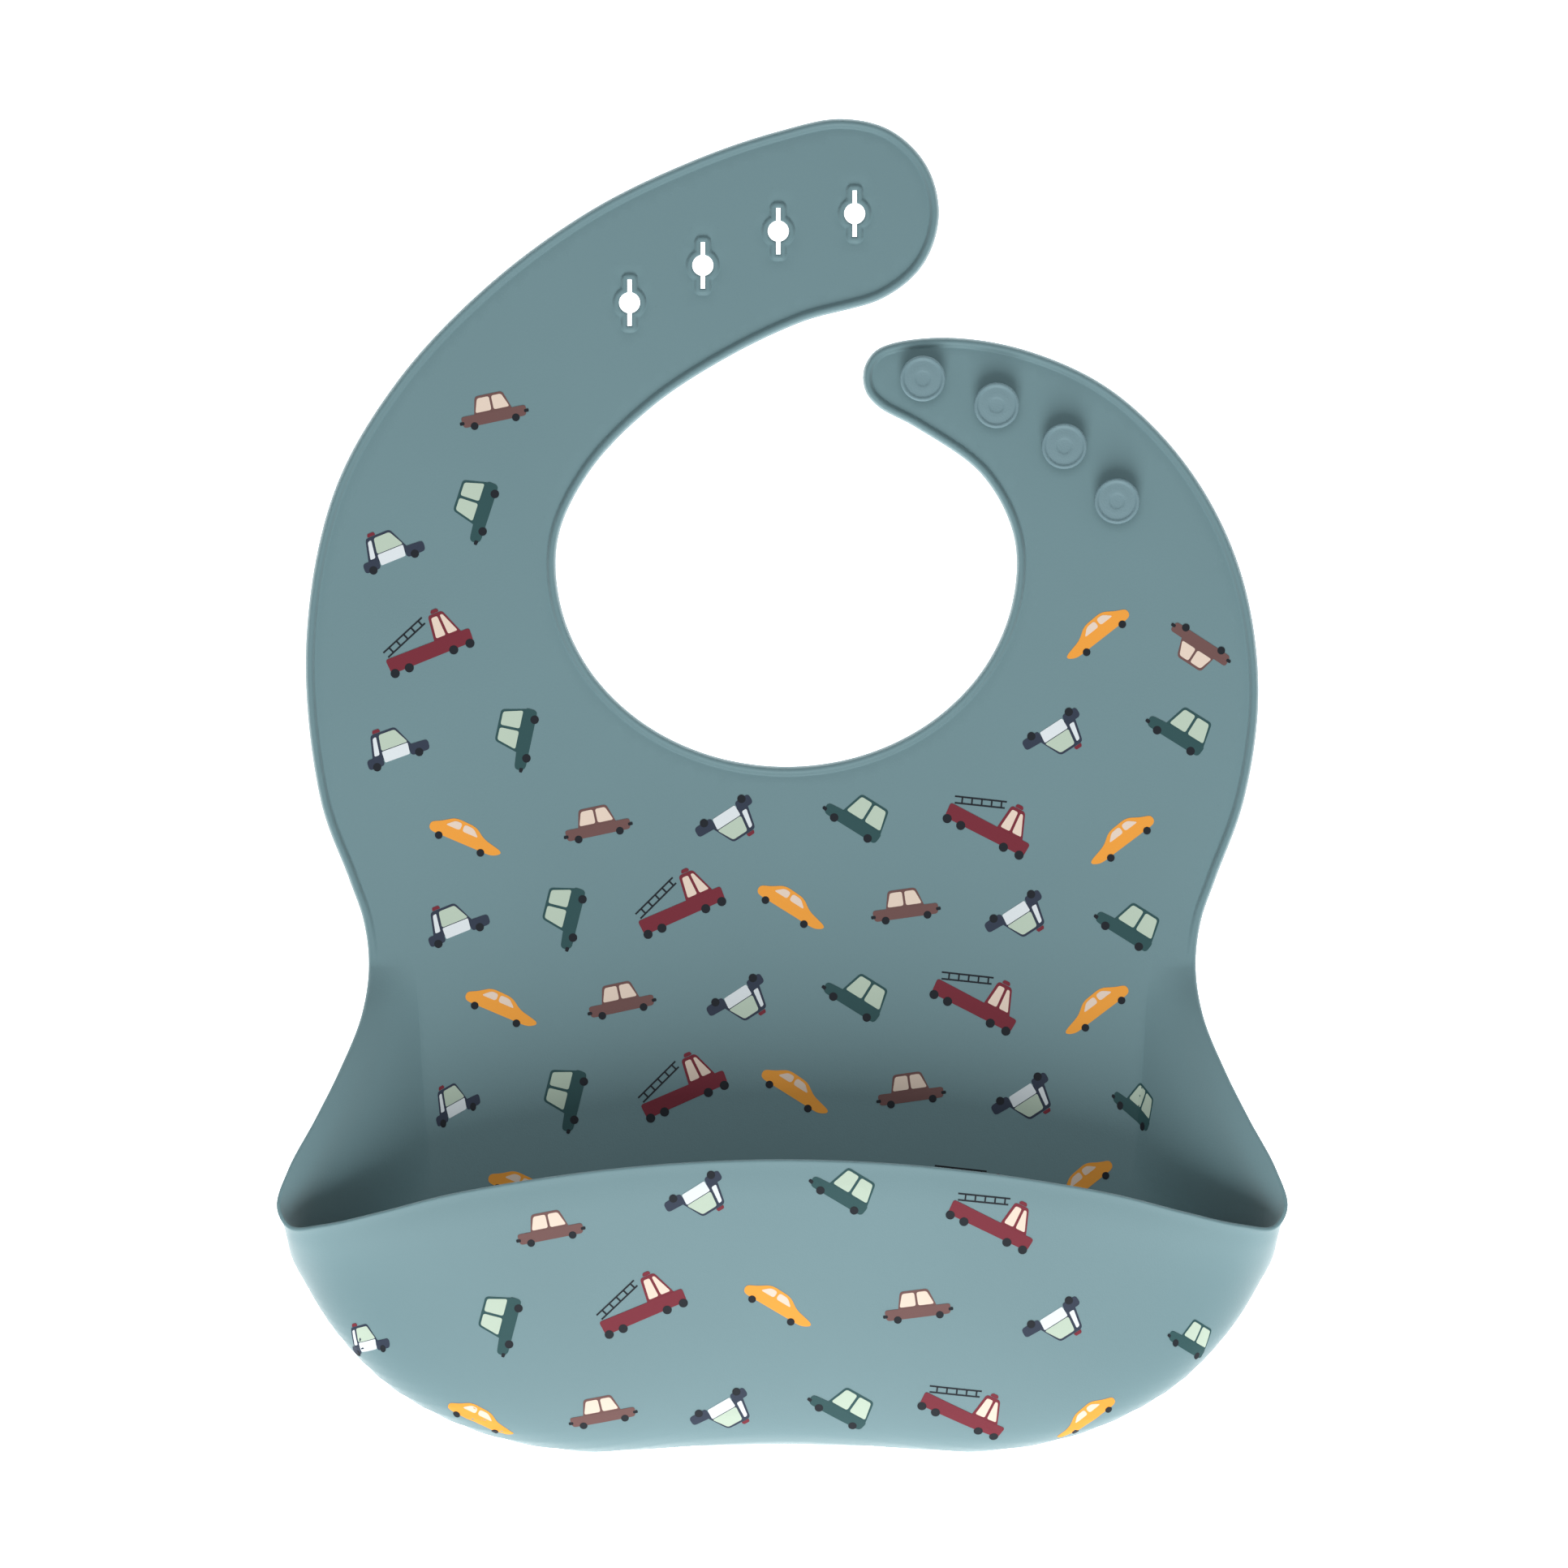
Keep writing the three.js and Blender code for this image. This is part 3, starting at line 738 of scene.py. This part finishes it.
# The print repeats in two kinds of row. Each vehicle is (drawing, turn in degrees, facing: -1 is left).
ROW_A = [
    (COUPE, -23, 1), (SEDAN, 12, 1), (PATROL, -147, 1), (HATCHBACK, -32, -1),
    (LADDER_TRUCK, -27, 1), (COUPE, 37, -1),
]
ROW_B = [
    (PATROL, 22, 1), (HATCHBACK, 76, -1), (LADDER_TRUCK, 24, 1), (COUPE, -32, 1), (SEDAN, 8, 1),
    (PATROL, -147, 1), (HATCHBACK, -32, -1),
]
# Rows on the panel, then on the pocket: vehicles, x of the first, spacing, y at the middle of the
# row, and how much lower the row is at BOW_X to either side.
BOW_X = 75
PANEL_ROWS = [
    (ROW_A, -72.0, 29.8, -7.9, 3.8),
    (ROW_B, -74.4, 25.6, -27.2, 5.0),
    (ROW_A, -63.8, 27.0, -48.8, 2.0),
    (ROW_B, -74.4, 25.9, -69.2, 3.9),
    (ROW_A, -58.6, 25.3, -95.6, -6.2),
]
POCKET_ROWS = [
    (ROW_A[1:5], -52.6, 33.4, -91.6, 18.0),
    (ROW_B, -94.2, 31.2, -117.3, 6.0),
    (ROW_A, -68.3, 27.4, -141.9, 2.2),
]
# Vehicles on the straps, one by one: drawing, turn, facing, x, y.
STRAP_PRINTS = [
    (SEDAN, 12, 1, -65.9, 85.1), (HATCHBACK, 72, -1, -69.0, 63.3), (PATROL, 22, 1, -89.2, 53.0),
    (LADDER_TRUCK, 22, 1, -80.6, 31.5), (HATCHBACK, 78, -1, -59.6, 11.5), (PATROL, 20, 1, -88.2, 8.0),
    (COUPE, 38, -1, 71.4, 35.0), (SEDAN, 147, 1, 94.7, 31.2), (PATROL, -147, 1, 62.2, 11.8),
    (HATCHBACK, -32, -1, 91.0, 11.8),
]
# The moulding is stretched beside the pocket's creases, so the print there is narrower. It narrows
# between these distances from the middle, and between these distances below y 0.
SQUEEZE = 0.28
SQUEEZED_X = (66.0, 73.0)
SQUEEZED_Y = (60.0, 70.0)
PRINT_STEP = 1.3  # spacing of points in a printed shape
PRINT_OUTLINE_STEP = 0.5  # the same along an outline with many corners
PRINT_CLEARANCE = 0.4  # between inner points and the outline, as a share of their spacing
MANY_CORNERS = 20  # an outline with more than these is respaced
MOST_ROUNDED = 0.45  # of an edge's length, taken up by the rounding at one end
PRINT_HEIGHT = 0.07  # of the lowest layer of ink above the silicone
LAYER_HEIGHT = 0.03
PRINT_ROOT = 0.1  # how far the ink's underside lies inside the silicone
ABOVE_ALL = 0.1  # metres: a height above the whole bib


def in_rows(rows):
    """Each row's vehicles with their places."""
    for vehicles, first, spacing, middle, bow in rows:
        for i, vehicle in enumerate(vehicles):
            x = first + spacing * i
            yield (*vehicle, x, middle - bow * (x / BOW_X) ** 2)


def rounded(corners, radius):
    """The outline with each corner replaced by a short curve."""
    p = np.array(corners, float)
    result = []
    for before, here, after in zip(np.roll(p, 1, axis=0), p, np.roll(p, -1, axis=0)):
        leave, arrive = before - here, after - here
        start = here + leave * min(radius / np.linalg.norm(leave), MOST_ROUNDED)
        end = here + arrive * min(radius / np.linalg.norm(arrive), MOST_ROUNDED)
        for t in (0, 0.25, 0.5, 0.75, 1):
            result.append(start * (1 - t) ** 2 + 2 * here * t * (1 - t) + end * t**2)
    return np.array(result)


def respaced(loop):
    """The outline with many even steps, which pass close to its corners."""
    return evenly(np.vstack([loop, loop[:1]]), PRINT_OUTLINE_STEP)[:-1]


def subdivided(loop):
    """The outline with all its corners, and with its long edges divided."""
    points = []
    for a, b in zip(loop, np.roll(loop, -1, axis=0)):
        n = max(1, math.ceil(np.linalg.norm(b - a) / PRINT_STEP))
        points += [a + (b - a) * k / n for k in range(n)]
    return np.array(points)


def filled(loop):
    """Points and triangles that fill an outline, close enough together to bend with a surface."""
    loop = respaced(loop) if len(loop) > MANY_CORNERS else subdivided(loop)
    x, y = grid_over(loop, PRINT_STEP, PRINT_STEP)
    grid = np.column_stack([x.ravel(), y.ravel()])
    grid = grid[inside(grid, loop)]
    grid = grid[away_from(loop, grid, PRINT_CLEARANCE * PRINT_STEP)]
    points, edges, triangles = triangulated(np.vstack([loop, grid]), loop_edges(0, len(loop)))
    rim = [(a, b) for a, b in edges if sum(a in face and b in face for face in triangles) == 1]
    return points, triangles, rim


def straight_below(surface, x, y):
    """Where a line straight down first meets the surface, and the normal there."""
    return surface.ray_cast(Vector((x * MM, y * MM, ABOVE_ALL)), Vector((0, 0, -1)))[:2]


def nearest(surface, x, y):
    """Where the surface is nearest to a point on the flat sheet's top, and the normal there."""
    return surface.find_nearest(Vector((x, y, SHEET)) * MM)[:2]


def print_vehicle(drawing, turn, facing, x, y, surface, find, prints):
    """Lays one drawing on a surface, in the plane that touches it, then onto the surface itself."""
    width = 1 - SQUEEZE * smoothstep(*SQUEEZED_X, abs(x)) * smoothstep(*SQUEEZED_Y, -y)
    spot, normal = find(surface, x, y)
    right = Vector((1, 0, 0)) - normal * normal.x
    right.normalize()
    up = normal.cross(right)
    angle = math.radians(turn)
    cos, sin = math.cos(angle), math.sin(angle)
    body = body_at(x, y)
    for ink, layer, rounding, corners in drawing:
        outline = rounded(corners, rounding) if rounding else np.array(corners)
        points, triangles, rim = filled(outline * (facing, 1))
        bm = prints[body, ink]
        top, bottom = [], []
        for a, b in points:
            u, v = a * cos - b * sin, a * sin + b * cos
            near, n, _, _ = surface.find_nearest(spot + (right * u * width + up * v) * MM)
            top.append(bm.verts.new(near + n * (PRINT_HEIGHT + LAYER_HEIGHT * layer) * MM))
            bottom.append(bm.verts.new(near - n * PRINT_ROOT * MM))
        for t in triangles:
            bm.faces.new([top[i] for i in t])
            bm.faces.new([bottom[i] for i in reversed(t)])
        for a, b in rim:
            bm.faces.new([top[a], top[b], bottom[b], bottom[a]])


# ---------------------------------------------------------------- studs

# Each stud's x, y and body.
STUDS = dict(
    stud_1=(76.2, 64.6, "right_root"), stud_2=(64.2, 77.1, "right_root"),
    stud_3=(48.8, 86.4, "right_tip"), stud_4=(32.0, 92.5, "right_tip"),
)
# Half section of a stud: radius, height, from inside the strap up to the middle of the head.
STUD_PROFILE = [
    (4.6, 1.7), (4.5, 1.95), (3.9, 2.05), (3.3, 2.2), (2.7, 2.6), (2.35, 3.2), (2.3, 4.0),
    (2.5, 4.35), (3.2, 4.45), (4.5, 4.5), (4.95, 4.7), (5.2, 5.1), (5.2, 5.7), (5.12, 6.05),
    (4.9, 6.25), (4.6, 6.27), (4.35, 6.12), (4.2, 6.0), (3.9, 5.98), (3.0, 6.05), (2.0, 6.1),
    (1.8, 6.06), (1.6, 5.98), (1.3, 5.95), (0, 5.95),
]


def stud_bmesh(x, y):
    """A stud's profile turned about its axis."""
    bm = bmesh.new()
    angles = np.linspace(0, 2 * math.pi, STUD_SIDES, endpoint=False)
    rings = []
    for radius, height in STUD_PROFILE[:-1]:
        ring = []
        for a in angles:
            place = ((x + radius * math.cos(a)) * MM, (y + radius * math.sin(a)) * MM, height * MM)
            ring.append(bm.verts.new(place))
        rings.append(ring)
    for lower, upper in zip(rings[:-1], rings[1:]):
        for i, j in loop_edges(0, STUD_SIDES):
            bm.faces.new([lower[i], lower[j], upper[j], upper[i]])
    top = bm.verts.new((x * MM, y * MM, STUD_PROFILE[-1][1] * MM))
    for i, j in loop_edges(0, STUD_SIDES):
        bm.faces.new([rings[-1][i], rings[-1][j], top])
    bm.faces.new(list(reversed(rings[0])))
    return bm


# ---------------------------------------------------------------- putting it together

# Surfaces to print on: the whole upper skin, and the outside of the pocket's wall.
upper_points = [Vector(p) for p in np.vstack(sheet.upper) * MM]
upper_tree = BVHTree.FromPolygons(upper_points, [[int(i) for i in face] for face in sheet.faces])
columns, rows = wall_outside.shape[:2]
wall_points = [Vector(p) for p in wall_outside.reshape(-1, 3) * MM]
wall_faces = []
for column in range(columns - 1):
    for a in range(column * rows, column * rows + rows - 1):
        wall_faces.append((a, a + 1, a + rows + 1, a + rows))
wall_tree = BVHTree.FromPolygons(wall_points, wall_faces)

divide(skin)
centres = [face.calc_center_median() / MM for face in skin.faces]
owners = [body_at(c.x, c.y) for c in centres]
REPLACED = dict(
    panel=["chest_panel", "pocket_floor", "pocket_front", "pocket_side_left", "pocket_side_right"],
    yoke=["neck_yoke"],
    left_root=["left_strap_root"],
    left_middle=["left_strap_middle"],
    left_tip=["left_strap_tip"],
    right_root=["right_strap_root"],
    right_tip=["right_strap_tip"],
)
for body, nodes in REPLACED.items():
    piece = object_of(part_of(skin, owners, body), f"skin_{body}", silicone)
    piece.data.shade_smooth()
    bend(piece, body)
    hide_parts(*nodes)
skin.free()

prints = defaultdict(bmesh.new)
for vehicle in [*STRAP_PRINTS, *in_rows(PANEL_ROWS)]:
    print_vehicle(*vehicle, upper_tree, nearest, prints)
for vehicle in in_rows(POCKET_ROWS):
    print_vehicle(*vehicle, wall_tree, straight_below, prints)
for (body, ink), bm in prints.items():
    bmesh.ops.recalc_face_normals(bm, faces=bm.faces)
    obj = object_of(bm, f"print_{body}_{ink}", ink_materials[ink])
    bend(obj, body)

for name, (x, y, body) in STUDS.items():
    obj = object_of(stud_bmesh(x, y), f"fine_{name}", stud_silicone)
    obj.data.shade_smooth()
    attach(obj, body)
    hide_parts(name)

# ---------------------------------------------------------------- stage, lights and camera, metres

FLOOR_SIZE = 12
FLOOR_Z = -0.0002
CAMERA_HEIGHT = 4.0
VIEW_WIDTH = 0.3575  # across the picture at the bib's back
VIEW_CENTRE = (0.0004, 0.0002)
SENSOR = 36  # millimetres, as is the lens

bpy.ops.mesh.primitive_plane_add(size=FLOOR_SIZE, location=(0, 0, FLOOR_Z))
floor = bpy.context.object
floor.name = "floor"
floor_material = bpy.data.materials.new("floor")
floor_material.use_nodes = True
floor_shader = floor_material.node_tree.nodes["Principled BSDF"]
floor_shader.inputs["Base Color"].default_value = (0.92, 0.92, 0.92, 1)
floor_shader.inputs["Roughness"].default_value = 0.9
floor_shader.inputs["Emission Color"].default_value = (1, 1, 1, 1)
floor_shader.inputs["Emission Strength"].default_value = 1.6
floor.data.materials.append(floor_material)

bpy.context.scene.view_settings.view_transform = "Standard"
world = bpy.data.worlds.new("studio")
bpy.context.scene.world = world
world.use_nodes = True
background = world.node_tree.nodes["Background"]
background.inputs["Color"].default_value = (0.88, 0.96, 1, 1)
background.inputs["Strength"].default_value = 0.32


def area_light(name, place, size, power):
    """A soft panel light that faces the bib and doesn't show itself."""
    light = bpy.data.lights.new(name, "AREA")
    light.shape = "RECTANGLE"
    light.size, light.size_y = size
    light.energy = power
    obj = bpy.data.objects.new(name, light)
    obj.location = place
    obj.rotation_euler = (-Vector(place)).to_track_quat("-Z", "Y").to_euler()
    obj.visible_camera = False
    bpy.context.collection.objects.link(obj)


area_light("key_light", place=(0, -1.29, 1.11), size=(0.8, 1.6), power=33)
area_light("top_light", place=(0, 0.5, 1.8), size=(1.0, 1.0), power=8)

camera_data = bpy.data.cameras.new("camera")
camera_data.sensor_width = SENSOR
camera_data.lens = SENSOR * CAMERA_HEIGHT / VIEW_WIDTH
camera = bpy.data.objects.new("camera", camera_data)
camera.location = (*VIEW_CENTRE, CAMERA_HEIGHT)
bpy.context.collection.objects.link(camera)
bpy.context.scene.camera = camera
